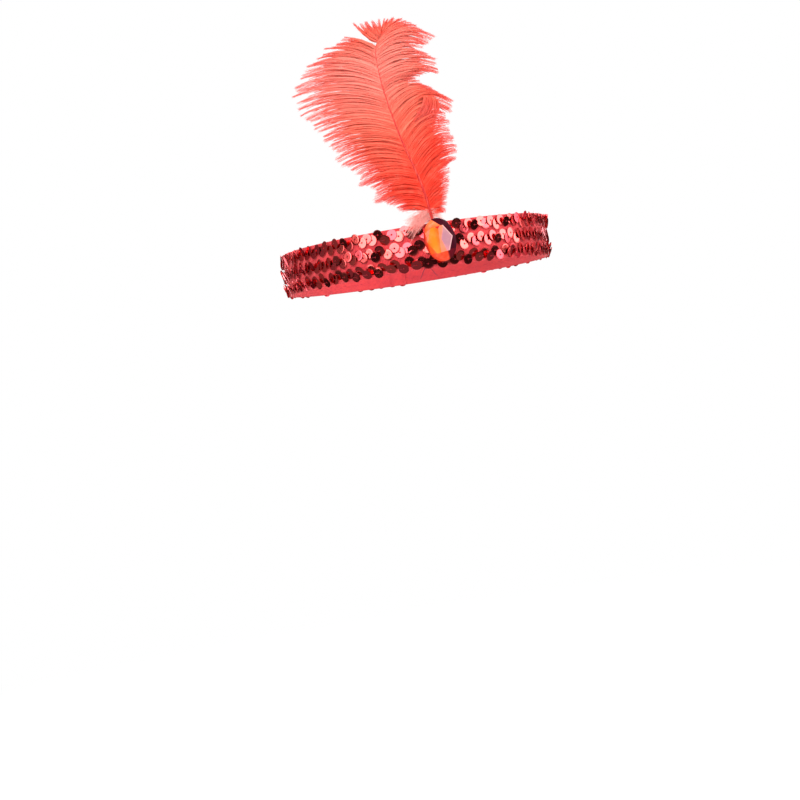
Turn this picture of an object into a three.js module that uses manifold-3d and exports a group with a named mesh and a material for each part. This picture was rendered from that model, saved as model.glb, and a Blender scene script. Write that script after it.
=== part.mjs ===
// A 1920s style headband: a stretch band paved with three rows of sequins, with an oval stone
// and an ostrich plume at the front. Millimetres. The origin is the middle of the head opening,
// the front is -Y, the wearer's left is +X and up is +Z.
import * as THREE from 'three';
import { ConvexGeometry } from 'three/addons/geometries/ConvexGeometry.js';
import { mergeVertices } from 'three/addons/utils/BufferGeometryUtils.js';
import Module from 'manifold-3d';

// Band
const headWidth = 162; // the opening inside the cloth, side to side
const headDepth = 192; // the same, front to back
const bandHeight = 25.4;
const clothThick = 1;
const sideLean = 2.4; // how much wider the top edge is than the bottom edge, over both sides
const lapLength = 14; // where the two ends of the band lie over each other, at the back
const lapRamp = 0.8; // the slope at each end of the lap
const seatGap = 0.3; // clearance between pieces that touch

// Sequins
const rowCount = 3;
const rowGap = 0.4;
const sequinPile = 1.4; // thickness of the overlapped sequins

// Stone and its glue
const gemWidth = 18;
const gemHeight = 25;
const gemDepth = 4.8;
const gemEdge = 1.1; // height of the upright wall round the stone's back
const gemTableWidth = 0.82; // the flat six-sided front, in shares of the outline
const gemTableHeight = 0.68;
const gemRise = 2.2; // how far the stone's middle sits above the band's
const gemTilt = 7; // degrees, its top towards the wearer's right
const gemTurn = 10; // degrees, its face towards the wearer's right
const padInset = 3; // from the stone's outline to the glue's
const padCover = 0.6; // glue between the quill and the stone

// Plume
const quillWidth = 1.8; // across the shaft at its foot
const quillTipWidth = 0.5;
const quillTail = 9; // length of shaft behind the stone, below its middle
const plumeHeight = 117.5; // from the stone's top to the highest barbs
const plumeClear = 1.15; // between the stone's top and the lowest barbs
const plumeBack = 16; // how far the plume's top leans back
const vaneThick = 6; // of the fluffed barbs, at mid width
const vaneCup = 0.1; // how far the barbs' ends fall back, as a share of their length
const barbBow = 0.07; // how far a barb arches up, as a share of its length
const tuftLength = 15;
const tuftHeight = 6;
const tuftThick = 2.2;

const ringSteps = 96;
const quillSteps = 52;
const vaneParts = 3; // sections from one row of a vane's table to the next

// Shaft of the plume above the stone, in shares of plumeHeight from the plume's foot
const shaftRows = [
  { up: 0, aside: -0.022 },
  { up: 0.1, aside: -0.034 },
  { up: 0.2, aside: -0.055 },
  { up: 0.4, aside: -0.108 },
  { up: 0.6, aside: -0.145 },
  { up: 0.75, aside: -0.158 },
  { up: 0.86, aside: -0.15 },
  { up: 0.93, aside: -0.108 },
];

// Outline of each vane from its foot up, in shares of plumeHeight: root is where the barbs leave
// the shaft, and up and aside are where they end. A row nearer the shaft than both its
// neighbours is a notch between two tufts.
const leftRows = [
  { root: 0.015, up: 0.05, aside: -0.15 },
  { root: 0.085, up: 0.108, aside: -0.228 },
  { root: 0.115, up: 0.122, aside: -0.292 },
  { root: 0.15, up: 0.165, aside: -0.262 },
  { root: 0.195, up: 0.212, aside: -0.338 },
  { root: 0.235, up: 0.258, aside: -0.322 },
  { root: 0.28, up: 0.305, aside: -0.396 },
  { root: 0.37, up: 0.405, aside: -0.455 },
  { root: 0.46, up: 0.506, aside: -0.51 },
  { root: 0.55, up: 0.6, aside: -0.565 },
  { root: 0.63, up: 0.696, aside: -0.587 },
  { root: 0.7, up: 0.785, aside: -0.54 },
  { root: 0.77, up: 0.86, aside: -0.45 },
  { root: 0.82, up: 0.903, aside: -0.346 },
  { root: 0.87, up: 0.95, aside: -0.27 },
  { root: 0.9, up: 0.994, aside: -0.238 },
  { root: 0.92, up: 1, aside: -0.125 },
];
const rightRows = [
  { root: 0.01, up: 0.005, aside: 0.044 },
  { root: 0.05, up: 0.111, aside: 0.074 },
  { root: 0.1, up: 0.182, aside: 0.097 },
  { root: 0.135, up: 0.245, aside: 0.099 },
  { root: 0.15, up: 0.265, aside: 0.14 },
  { root: 0.2, up: 0.33, aside: 0.161 },
  { root: 0.3, up: 0.43, aside: 0.136 },
  { root: 0.4, up: 0.503, aside: 0.128 },
  { root: 0.45, up: 0.52, aside: 0.184 },
  { root: 0.52, up: 0.565, aside: 0.168 },
  { root: 0.6, up: 0.665, aside: 0.055 },
  { root: 0.645, up: 0.681, aside: -0.03 },
  { root: 0.67, up: 0.708, aside: 0.08 },
  { root: 0.7, up: 0.715, aside: 0.154 },
  { root: 0.76, up: 0.78, aside: 0.137 },
  { root: 0.82, up: 0.868, aside: 0.105 },
  { root: 0.85, up: 0.878, aside: 0.152 },
  { root: 0.89, up: 0.94, aside: 0.07 },
  { root: 0.93, up: 1, aside: -0.08 },
];

// Half thickness of a vane from the shaft to the barbs' ends, in shares of vaneThick
const vaneSection = [
  { across: 0, half: 0.25 },
  { across: 0.25, half: 0.46 },
  { across: 0.5, half: 0.5 },
  { across: 0.78, half: 0.34 },
  { across: 1, half: 0.1 },
];

// Down tuft from the shaft outwards: along is a share of its length, girth of its height
const tuftRows = [
  { along: 0, girth: 0.4 },
  { along: 0.3, girth: 0.9 },
  { along: 0.6, girth: 1 },
  { along: 0.85, girth: 0.7 },
  { along: 1, girth: 0.25 },
];

// Places worked out from the sizes above
const sequinBack = clothThick + seatGap;
const bandFront = headDepth / 2 + sequinBack + sequinPile;
const rowHeight = (bandHeight - (rowCount - 1) * rowGap) / rowCount;
const quillDepth = bandFront + seatGap + quillWidth / 2;
const padBack = bandFront + seatGap;
const padThick = quillWidth + seatGap + padCover;
const padWidth = gemWidth - 2 * padInset;
const padHeight = gemHeight - 2 * padInset;
const gemBack = padBack + padThick + seatGap;
const plumeFoot = gemRise + gemHeight / 2 + plumeClear;

// Closed body through rings of points that all have the same count. The rings run round as a
// hoop, or the first and last are closed by strips between their facing points.
function loft(rings, hoop = false) {
  const count = rings[0].length;
  const points = rings.flat().flatMap((p) => [p.x, p.y, p.z]);
  const faces = [];
  const quad = (a, b, c, d) => faces.push(a, b, c, a, c, d);
  const spans = hoop ? rings.length : rings.length - 1;
  for (let i = 0; i < spans; i += 1) {
    const here = i * count;
    const next = ((i + 1) % rings.length) * count;
    for (let j = 0; j < count; j += 1) {
      const k = (j + 1) % count;
      quad(here + j, here + k, next + k, next + j);
    }
  }
  const last = (rings.length - 1) * count;
  for (let j = 0; j < count / 2 - 1 && !hoop; j += 1) {
    const far = count - 1 - j;
    quad(j, far, far - 1, j + 1);
    quad(last + j, last + j + 1, last + far - 1, last + far);
  }
  const body = new THREE.BufferGeometry();
  body.setAttribute('position', new THREE.Float32BufferAttribute(points, 3));
  body.setIndex(faces);
  body.computeVertexNormals();
  return body;
}

// Point on the band at an angle from the front, a height and a distance out from the opening
function bandPoint(angle, z, out) {
  const lean = (sideLean / 2) * (z / bandHeight);
  return new THREE.Vector3(
    (headWidth / 2 + out + lean) * Math.sin(angle),
    -(headDepth / 2 + out) * Math.cos(angle),
    z,
  );
}

// Upright section of the band between two heights and two distances out
function bandSection(angle, low, high, inner, outer) {
  return [
    bandPoint(angle, low, outer),
    bandPoint(angle, low, inner),
    bandPoint(angle, high, inner),
    bandPoint(angle, high, outer),
  ];
}

const ringAngles = Array.from({ length: ringSteps }, (_, i) => (i / ringSteps) * 2 * Math.PI);

function bandFabric() {
  const halfLap = lapLength / headDepth;
  const ramp = (lapRamp * 2) / headDepth;
  const flat = ringAngles
    .filter((a) => Math.abs(a - Math.PI) > halfLap + ramp)
    .map((angle) => ({ angle, lap: 0 }));
  const lapped = [-1, 1].flatMap((side) => [
    { angle: Math.PI + side * (halfLap + ramp), lap: 0 },
    { angle: Math.PI + side * halfLap, lap: clothThick },
  ]);
  const stations = [...flat, ...lapped].sort((a, b) => a.angle - b.angle);
  const half = bandHeight / 2;
  const rings = stations.map((s) => bandSection(s.angle, -half, half, -s.lap, clothThick));
  return loft(rings, true);
}

function sequinRow(index) {
  const low = -bandHeight / 2 + index * (rowHeight + rowGap);
  const outer = sequinBack + sequinPile;
  const rings = ringAngles.map((a) => bandSection(a, low, low + rowHeight, sequinBack, outer));
  return loft(rings, true);
}

// Place in the plume from its shares: the plume leans back more the higher it is
function plumePoint(up, aside) {
  const back = plumeBack * Math.max(up, 0) ** 2;
  return new THREE.Vector3(
    aside * plumeHeight,
    back - quillDepth,
    plumeFoot + up * plumeHeight,
  );
}

// The shaft runs on behind the stone, down to its tail
const tailUp = (gemRise - quillTail - plumeFoot) / plumeHeight;
const wholeShaft = [{ up: tailUp, aside: 0 }, ...shaftRows];
const tipUp = shaftRows[shaftRows.length - 1].up;

function slopeAt(index) {
  const before = wholeShaft[Math.max(index - 1, 0)];
  const after = wholeShaft[Math.min(index + 1, wholeShaft.length - 1)];
  return (after.aside - before.aside) / (after.up - before.up);
}

// The shaft's centre at a share of plumeHeight, on a smooth curve through its table
function shaftAt(up) {
  const over = wholeShaft.findIndex((row) => row.up > up);
  const index = (over < 0 ? wholeShaft.length : Math.max(over, 1)) - 1;
  const low = Math.min(index, wholeShaft.length - 2);
  const from = wholeShaft[low];
  const to = wholeShaft[low + 1];
  const span = to.up - from.up;
  const t = (up - from.up) / span;
  const aside =
    from.aside * (1 + 2 * t) * (1 - t) ** 2 +
    slopeAt(low) * span * t * (1 - t) ** 2 +
    to.aside * t * t * (3 - 2 * t) -
    slopeAt(low + 1) * span * t * t * (1 - t);
  return plumePoint(up, aside);
}

function quillRadius(up) {
  return THREE.MathUtils.lerp(quillWidth, quillTipWidth, Math.max(up, 0) / tipUp) / 2;
}

// The shaft as a tapered rod, with room all round it where it is used as a cutter
function shaftRod(room) {
  const sides = 8;
  const first = tailUp - room / plumeHeight;
  const last = tipUp + room / plumeHeight;
  const rings = Array.from({ length: quillSteps + 1 }, (_, i) => {
    const up = THREE.MathUtils.lerp(first, last, i / quillSteps);
    const radius = quillRadius(Math.min(up, tipUp)) + room;
    return Array.from({ length: sides }, (__, j) => {
      const turn = ((j + 0.5) / sides) * 2 * Math.PI;
      const offset = new THREE.Vector3(Math.cos(turn), Math.sin(turn), 0);
      return offset.multiplyScalar(radius).add(shaftAt(up));
    });
  });
  return loft(rings);
}

// The rows of a vane's table with further rows evenly between each two
function fineRows(rows) {
  return rows.slice(1).flatMap((to, i) =>
    Array.from({ length: vaneParts }, (_, k) => {
      const part = (k + 1) / vaneParts;
      const mix = (key) => THREE.MathUtils.lerp(rows[i][key], to[key], part);
      return { root: mix('root'), up: mix('up'), aside: mix('aside') };
    }),
  );
}

// One vane: a section for each fine row, from beside the shaft to the barbs' ends
function vane(rows, side) {
  const sections = [rows[0], ...fineRows(rows)].map((row) => {
    const root = shaftAt(row.root);
    root.x += side * (quillRadius(row.root) + seatGap);
    const tip = plumePoint(row.up, row.aside);
    const reach = root.distanceTo(tip);
    const place = (across, half) => {
      const point = root.clone().lerp(tip, across);
      point.z += barbBow * reach * 4 * across * (1 - across);
      point.y = root.y + vaneCup * reach * across ** 2 + half * vaneThick;
      return point;
    };
    const front = vaneSection.map((s) => place(s.across, -s.half));
    const behind = vaneSection.map((s) => place(s.across, s.half)).reverse();
    return side < 0 ? [...front, ...behind].reverse() : [...front, ...behind];
  });
  return loft(sections);
}

function downTuft() {
  const start = shaftAt(0);
  start.x -= quillRadius(0) + seatGap;
  const sides = 8;
  const rings = tuftRows.map((row) =>
    Array.from({ length: sides }, (_, j) => {
      const turn = ((j + 0.5) / sides) * 2 * Math.PI;
      const rise = (tuftHeight / 2) * row.girth * Math.sin(turn);
      const depth = (tuftThick / 2) * row.girth * Math.cos(turn);
      const droop = (tuftHeight / 3) * row.along;
      return new THREE.Vector3(start.x - row.along * tuftLength, start.y - depth,
        start.z - tuftHeight / 4 - droop + rise);
    }),
  );
  return loft(rings);
}

// Points round an oval of shares of the stone's size, in front of its back
function gemRing(count, width, height, forward) {
  return Array.from({ length: count }, (_, i) => {
    const turn = (i / count) * 2 * Math.PI;
    const x = (gemWidth / 2) * width * Math.cos(turn);
    return new THREE.Vector3(x, -forward, (gemHeight / 2) * height * Math.sin(turn));
  });
}

// The stone: a low wall, two rows of facets and a six-sided flat front
function gemBody() {
  const halfway = (share) => (1 + share) / 2 + 0.03;
  const forward = (gemEdge + gemDepth) / 2 + 0.5;
  return new ConvexGeometry([
    ...gemRing(24, 1, 1, 0),
    ...gemRing(24, 1, 1, gemEdge),
    ...gemRing(12, halfway(gemTableWidth), halfway(gemTableHeight), forward),
    ...gemRing(6, gemTableWidth, gemTableHeight, gemDepth),
  ]);
}

// How the stone is turned and tilted, about the middle of its back
const gemFacing = new THREE.Euler(0, THREE.MathUtils.degToRad(-gemTilt),
  THREE.MathUtils.degToRad(-gemTurn), 'ZYX');

const wasm = await Module();
wasm.setup();

function solidOf(body) {
  const bare = body.clone();
  bare.deleteAttribute('normal');
  bare.deleteAttribute('uv');
  const merged = mergeVertices(bare, 1e-4);
  return new wasm.Manifold(
    new wasm.Mesh({
      numProp: 3,
      vertProperties: new Float32Array(merged.attributes.position.array),
      triVerts: new Uint32Array(merged.index.array),
    }),
  );
}

function bodyOf(solid) {
  const mesh = solid.getMesh();
  const body = new THREE.BufferGeometry();
  body.setAttribute('position', new THREE.BufferAttribute(mesh.vertProperties, 3));
  body.setIndex(new THREE.BufferAttribute(mesh.triVerts, 1));
  body.computeVertexNormals();
  return body;
}

// Oval pad of glue behind the stone, cut to the stone's back, with a channel for the shaft that
// is open at its back
function gluePad() {
  const spare = padWidth;
  const outline = new THREE.Shape();
  outline.absellipse(0, 0, padWidth / 2, padHeight / 2, 0, 2 * Math.PI);
  const oval = new THREE.ExtrudeGeometry(outline, {
    depth: padThick + spare,
    bevelEnabled: false,
    curveSegments: 10,
  });
  oval.rotateX(Math.PI / 2);
  oval.translate(0, -padBack, gemRise);
  const ahead = new THREE.BoxGeometry(2 * gemWidth, 2 * spare, 2 * gemHeight);
  ahead.translate(0, seatGap - spare, 0);
  ahead.applyQuaternion(new THREE.Quaternion().setFromEuler(gemFacing));
  ahead.translate(0, -gemBack, gemRise);
  const shaft = solidOf(shaftRod(seatGap));
  return bodyOf(solidOf(oval).subtract(shaft).subtract(solidOf(ahead)));
}

function finish(color, roughness, metalness = 0) {
  return new THREE.MeshStandardMaterial({ color, roughness, metalness, flatShading: true });
}

const cloth = finish(0xa3141d, 0.85);
const sequin = finish(0xc8404a, 0.2, 0.9);
const stone = finish(0xf0662c, 0.08);
const glue = finish(0xdcd6cc, 0.4);
const shaftFinish = finish(0xd83a34, 0.5);
const plume = finish(0xf75c49, 0.9);
const down = finish(0xf3aaa4, 0.95);

function piece(name, body, material) {
  const mesh = new THREE.Mesh(body, material);
  mesh.name = name;
  return mesh;
}

const headband = new THREE.Group();
headband.add(piece('band_fabric', bandFabric(), cloth));
['bottom', 'middle', 'top'].forEach((place, index) => {
  headband.add(piece(`sequin_row_${place}`, sequinRow(index), sequin));
});
headband.add(piece('glue_pad', gluePad(), glue));
headband.add(piece('quill', shaftRod(0), shaftFinish));
headband.add(piece('vane_left', vane(leftRows, -1), plume));
headband.add(piece('vane_right', vane(rightRows, 1), plume));
headband.add(piece('down_tuft', downTuft(), down));

const gem = piece('gem', gemBody(), stone);
gem.position.set(0, -gemBack, gemRise);
gem.rotation.copy(gemFacing);
headband.add(gem);

export default headband;
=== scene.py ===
import math
import random
from collections import namedtuple

import bmesh
import bpy
from bpy.props import FloatProperty, FloatVectorProperty, IntProperty, PointerProperty
from mathutils import Euler, Matrix, Vector


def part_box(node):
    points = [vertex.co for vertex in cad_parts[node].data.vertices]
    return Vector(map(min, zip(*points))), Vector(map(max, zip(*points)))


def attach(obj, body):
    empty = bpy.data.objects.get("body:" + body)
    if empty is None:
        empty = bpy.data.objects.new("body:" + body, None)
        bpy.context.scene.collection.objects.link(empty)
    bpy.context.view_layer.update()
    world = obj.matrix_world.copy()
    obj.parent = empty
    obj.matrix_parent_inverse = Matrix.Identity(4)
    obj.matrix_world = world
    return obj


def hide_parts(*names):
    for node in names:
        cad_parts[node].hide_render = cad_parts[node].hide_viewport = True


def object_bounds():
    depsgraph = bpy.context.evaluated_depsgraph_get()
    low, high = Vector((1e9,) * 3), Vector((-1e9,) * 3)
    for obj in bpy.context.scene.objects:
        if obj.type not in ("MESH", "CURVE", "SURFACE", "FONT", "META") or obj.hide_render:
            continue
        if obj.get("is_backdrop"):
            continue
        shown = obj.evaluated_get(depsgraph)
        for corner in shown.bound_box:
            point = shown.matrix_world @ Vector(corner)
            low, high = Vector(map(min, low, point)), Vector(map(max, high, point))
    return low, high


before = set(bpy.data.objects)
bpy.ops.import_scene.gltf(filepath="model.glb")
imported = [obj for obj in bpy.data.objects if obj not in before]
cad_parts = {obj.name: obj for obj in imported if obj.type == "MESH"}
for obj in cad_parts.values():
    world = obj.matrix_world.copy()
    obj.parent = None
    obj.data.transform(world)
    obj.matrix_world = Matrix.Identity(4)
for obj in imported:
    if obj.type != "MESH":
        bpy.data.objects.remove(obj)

bl_info = {
    "name": "Flapper Feather Headband",
    "version": (1, 0, 0),
    "blender": (4, 5, 0),
    "location": "3D View > Sidebar > Headband",
    "description": "A stretch headband paved with sequins, with a faceted stone and an ostrich plume",
    "category": "Add Mesh",
}

CAD_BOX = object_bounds()
MM = 0.001

# The band: +Z up, the front is -Y. Distances out are from the wall of the head opening.
CLOTH = 1.0 * MM
SIDE_LEAN = 2.4 * MM
SEAT_GAP = 0.3 * MM
BAND_LOW, BAND_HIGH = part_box("band_fabric")
HALF_HEIGHT = (BAND_HIGH.z - BAND_LOW.z) / 2
BAND_HEIGHT = 2 * HALF_HEIGHT
HALF_DEPTH = -BAND_LOW.y - CLOTH
HALF_WIDTH = BAND_HIGH.x - CLOTH - SIDE_LEAN / 4
PILE = -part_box("sequin_row_middle")[0].y - HALF_DEPTH
ROWS = ("bottom", "middle", "top")

# How far the sequins of each row nod down, in degrees
ROW_NODS = {"bottom": 8, "middle": -3, "top": -4}

# The stone: its size, the tilt of its top and the turn of its face towards the wearer's right
STONE_WIDTH = 18 * MM
STONE_HEIGHT = 25 * MM
STONE_DEPTH = 4.8 * MM
STONE_EDGE = 1.1 * MM
STONE_TABLE = (0.82, 0.68)
STONE_RISE = 2.2 * MM
STONE_TILT = math.radians(7)
STONE_TURN = math.radians(10)

# The plume: shares are of its height above its foot, just over the stone
SHAFT_WIDTH = 1.8 * MM
SHAFT_TIP_WIDTH = 0.5 * MM
SHAFT_TAIL = 9 * MM
PLUME_CLEAR = 1.15 * MM
PLUME_FOOT = STONE_RISE + STONE_HEIGHT / 2 + PLUME_CLEAR
PLUME_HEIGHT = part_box("vane_left")[1].z - PLUME_FOOT
PLUME_DEPTH = HALF_DEPTH + PILE + SEAT_GAP + SHAFT_WIDTH / 2
PLUME_BACK = 16 * MM
VANE_THICK = 6 * MM
VANE_CUP = 0.1

# The glue covers the shaft, and the stone's back is in front of it
GLUE_COVER = 0.6 * MM
STONE_BACK = HALF_DEPTH + PILE + SEAT_GAP * 3 + SHAFT_WIDTH + GLUE_COVER

ShaftRow = namedtuple("ShaftRow", "up aside")
SHAFT_ROWS = (
    ShaftRow((STONE_RISE - SHAFT_TAIL - PLUME_FOOT) / PLUME_HEIGHT, 0),
    ShaftRow(0, -0.022),
    ShaftRow(0.1, -0.034),
    ShaftRow(0.2, -0.055),
    ShaftRow(0.4, -0.108),
    ShaftRow(0.6, -0.145),
    ShaftRow(0.75, -0.158),
    ShaftRow(0.86, -0.15),
    ShaftRow(0.93, -0.108),
)

# Barbs from the foot up: root is where they leave the shaft, up and aside are where they end,
# and arch is how far they bow up on the way, as a share of their length.
BarbRow = namedtuple("BarbRow", "root up aside arch")
LEFT_ROWS = (
    BarbRow(0.015, 0.05, -0.15, 0.10),
    BarbRow(0.085, 0.108, -0.228, 0.10),
    BarbRow(0.115, 0.122, -0.292, 0.10),
    BarbRow(0.15, 0.165, -0.262, 0.10),
    BarbRow(0.195, 0.212, -0.338, 0.10),
    BarbRow(0.235, 0.258, -0.322, 0.10),
    BarbRow(0.28, 0.305, -0.396, 0.10),
    BarbRow(0.37, 0.405, -0.455, 0.10),
    BarbRow(0.46, 0.506, -0.51, 0.10),
    BarbRow(0.55, 0.6, -0.565, 0.10),
    BarbRow(0.63, 0.696, -0.587, 0.10),
    BarbRow(0.7, 0.785, -0.54, 0.10),
    BarbRow(0.77, 0.86, -0.45, 0.10),
    BarbRow(0.82, 0.903, -0.346, 0.10),
    BarbRow(0.868, 0.942, -0.292, 0.05),
)
LEFT_TUFT_ROWS = (
    BarbRow(0.884, 0.99, -0.25, -0.1),
    BarbRow(0.905, 0.996, -0.19, -0.09),
    BarbRow(0.918, 0.998, -0.14, -0.06),
    BarbRow(0.93, 0.999, -0.098, -0.02),
)
RIGHT_ROWS = (
    BarbRow(0.01, 0.005, 0.044, 0.10),
    BarbRow(0.05, 0.111, 0.074, 0.08),
    BarbRow(0.1, 0.182, 0.097, 0.08),
    BarbRow(0.135, 0.245, 0.099, 0.10),
    BarbRow(0.15, 0.265, 0.14, 0.12),
    BarbRow(0.2, 0.33, 0.161, 0.14),
    BarbRow(0.3, 0.43, 0.136, 0.16),
    BarbRow(0.4, 0.503, 0.128, 0.20),
    BarbRow(0.45, 0.52, 0.184, 0.26),
    BarbRow(0.52, 0.565, 0.168, 0.24),
    BarbRow(0.6, 0.665, 0.055, 0.12),
    BarbRow(0.645, 0.681, -0.03, 0.10),
    BarbRow(0.67, 0.708, 0.08, 0.10),
    BarbRow(0.7, 0.715, 0.154, 0.12),
    BarbRow(0.76, 0.78, 0.137, 0.12),
    BarbRow(0.82, 0.843, 0.078, 0.14),
    BarbRow(0.85, 0.878, 0.16, 0.18),
    BarbRow(0.87, 0.913, 0.112, 0.18),
    BarbRow(0.89, 0.947, 0.07, 0.16),
    BarbRow(0.905, 0.972, 0.034, 0.12),
    BarbRow(0.918, 0.994, -0.01, 0.08),
    BarbRow(0.925, 0.999, -0.057, 0.04),
    BarbRow(0.93, 0.999, -0.09, 0.0),
)

# The fold halfway up the right side: the corners of a barb's curve after its root, each at its
# place for the fold's first barb and for its last.
FoldRow = namedtuple("FoldRow", "first_up last_up first_aside last_aside")
FOLD_ROOTS = (0.43, 0.51)
FOLD_ROWS = (
    FoldRow(0.61, 0.63, -0.01, -0.01),
    FoldRow(0.64, 0.6, 0.11, 0.22),
    FoldRow(0.48, 0.42, -0.03, 0.03),
)
FOLD_BARBS = 46

# Barbs lie in layers: wide ones fill the plume's body and thin ones draw together in locks.
# Length is a share of a barb's reach, pull how far it is drawn into its lock and depth how far
# it may lie from the plume's middle, as a share of half the plume's thickness.
Layer = namedtuple("Layer", "pitch girths lengths pull depth")
LAYERS = (
    Layer(0.5 * MM, (1.1 * MM, 1.5 * MM), (0.7, 0.92), 0.2, 0.5),
    Layer(0.27 * MM, (0.24 * MM, 0.75 * MM), (0.86, 1.02), 0.9, 1.0),
)
LOCK_SIZES = (6, 8, 9, 11, 13)
BARB_STEPS = 16

# About a whole turn, in radians: the phase and the waves of a strand's sway are chosen with it
SWAY_TURN = 6.3


def tint(red, green, blue):
    """Linear colour from screen values up to 255."""
    def linear(value):
        share = value / 255
        return share / 12.92 if share <= 0.04045 else ((share + 0.055) / 1.055) ** 2.4

    return (linear(red), linear(green), linear(blue))


def blend(low, high, share):
    """Value at a share of the way from low to high."""
    return low + (high - low) * share


def ease(low, high, value):
    """Smooth step from 0 at low to 1 at high."""
    share = min(max((value - low) / (high - low), 0), 1)
    return share * share * (3 - 2 * share)


def whole_turn(count):
    """Evenly spaced angles round a circle."""
    return [2 * math.pi * i / count for i in range(count)]


# Settings


def length_setting(name, description, default):
    return FloatProperty(name=name, description=description, default=default, unit="LENGTH")


def angle_setting(name, description, degrees):
    return FloatProperty(
        name=name, description=description, default=math.radians(degrees), subtype="ANGLE")


def colour_setting(name, description, default):
    return FloatVectorProperty(
        name=name, description=description, default=default, subtype="COLOR", size=3)


class HeadbandBand(bpy.types.PropertyGroup):
    lap: length_setting("Lap", "Length of cloth sewn over itself at the back", 14 * MM)
    ripple: length_setting("Ripple", "Height of the gathers between the rows of sequins", 0.16 * MM)
    rib: length_setting("Rib", "Width of one knitted rib", 0.9 * MM)
    cloth: colour_setting("Cloth", "Colour of the knitted cloth", tint(226, 60, 70))
    thread: colour_setting("Thread", "Colour of the sewing thread", tint(150, 26, 46))


class HeadbandSequins(bpy.types.PropertyGroup):
    diameter: length_setting("Diameter", "Across one sequin", 6.2 * MM)
    hole: length_setting("Hole", "Across its hole", 1.1 * MM)
    film: length_setting("Film", "Thickness of the film", 0.12 * MM)
    cup: length_setting("Cup", "How far the rim drops", 0.06 * MM)
    pitch: length_setting("Pitch", "From one sequin to the next", 3.8 * MM)
    zigzag: length_setting("Zigzag", "How far each lies above or below its row", 1.15 * MM)
    drift: length_setting("Drift", "How unevenly they are spaced", 0.65 * MM)
    step: length_setting("Step", "From one row to the next", 9.0 * MM)
    tilt: angle_setting("Tilt", "How far each stands up over its neighbour", 10)
    wobble: angle_setting("Wobble", "How unevenly they stand", 7)
    slip: angle_setting("Slip", "How far the few that have slipped lean down", 20)
    seed: IntProperty(name="Seed", description="Choice of the uneven ones", default=4)
    film_colour: colour_setting("Film colour", "Colour of the metallised film", (0.76, 0.09, 0.084))


class HeadbandStone(bpy.types.PropertyGroup):
    # Amber and lilac are the foil's own colours, painted here as its lit side and its shaded side.
    amber: colour_setting("Amber", "Colour of the lit side", tint(241, 112, 28))
    lilac: colour_setting("Lilac", "Colour of the shaded side", tint(160, 110, 122))
    ember: colour_setting("Ember", "Colour of the lower facets", tint(224, 58, 30))
    # Painted shade, on the facets turned away from the light.
    shade_maroon: colour_setting("Maroon", "Colour of the dark facets", tint(52, 6, 20))


class HeadbandPlume(bpy.types.PropertyGroup):
    fullness: FloatProperty(
        name="Fullness", description="Number of barbs, as a share of the usual", default=1)
    fluff: length_setting("Fluff", "Length of the finest hairs", 2.2 * MM)
    hair: length_setting("Hair", "Width of the finest hairs at their root", 0.13 * MM)
    spacing: length_setting("Spacing", "From hair to hair along a barb", 0.4 * MM)
    seed: IntProperty(name="Seed", description="Choice of the uneven barbs", default=11)
    # Deep, coral and light run from the plume's foot to its top as painted light from above.
    deep: colour_setting("Deep", "Colour low on the plume", tint(255, 80, 58))
    coral: colour_setting("Coral", "Colour in the middle", tint(255, 138, 112))
    light: colour_setting("Light", "Colour near the top", tint(255, 162, 148))
    tip: colour_setting("Tip", "Colour of the thin ends", tint(238, 104, 104))
    down: colour_setting("Down", "Colour of the pale down", tint(255, 206, 200))


class HeadbandStage(bpy.types.PropertyGroup):
    drop: length_setting("Drop", "From the middle of the band down to the floor", 0.42)
    floor: colour_setting("Floor", "Colour of the floor", (0.9, 0.9, 0.9))
    panel: FloatProperty(
        name="Panel", description="Brightness of the soft panels in reflections", default=5.7)
    key: FloatProperty(name="Key", description="Power of the main light in watts", default=37)


class HeadbandSettings(bpy.types.PropertyGroup):
    band: PointerProperty(type=HeadbandBand)
    sequins: PointerProperty(type=HeadbandSequins)
    stone: PointerProperty(type=HeadbandStone)
    plume: PointerProperty(type=HeadbandPlume)
    stage: PointerProperty(type=HeadbandStage)


# Node trees


class Value:
    """One output of a node. Sums and products of it add Math nodes to its tree."""

    def __init__(self, nodes, socket):
        self.nodes = nodes
        self.socket = socket

    def output(self, name):
        return Value(self.nodes, self.socket.node.outputs[name])

    def __add__(self, other):
        return self.nodes.math("ADD", self, other)

    def __radd__(self, other):
        return self.nodes.math("ADD", other, self)

    def __sub__(self, other):
        return self.nodes.math("SUBTRACT", self, other)

    def __rsub__(self, other):
        return self.nodes.math("SUBTRACT", other, self)

    def __mul__(self, other):
        return self.nodes.math("MULTIPLY", self, other)

    def __rmul__(self, other):
        return self.nodes.math("MULTIPLY", other, self)

    def __truediv__(self, other):
        return self.nodes.math("DIVIDE", self, other)

    def __abs__(self):
        return self.nodes.math("ABSOLUTE", self)


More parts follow.
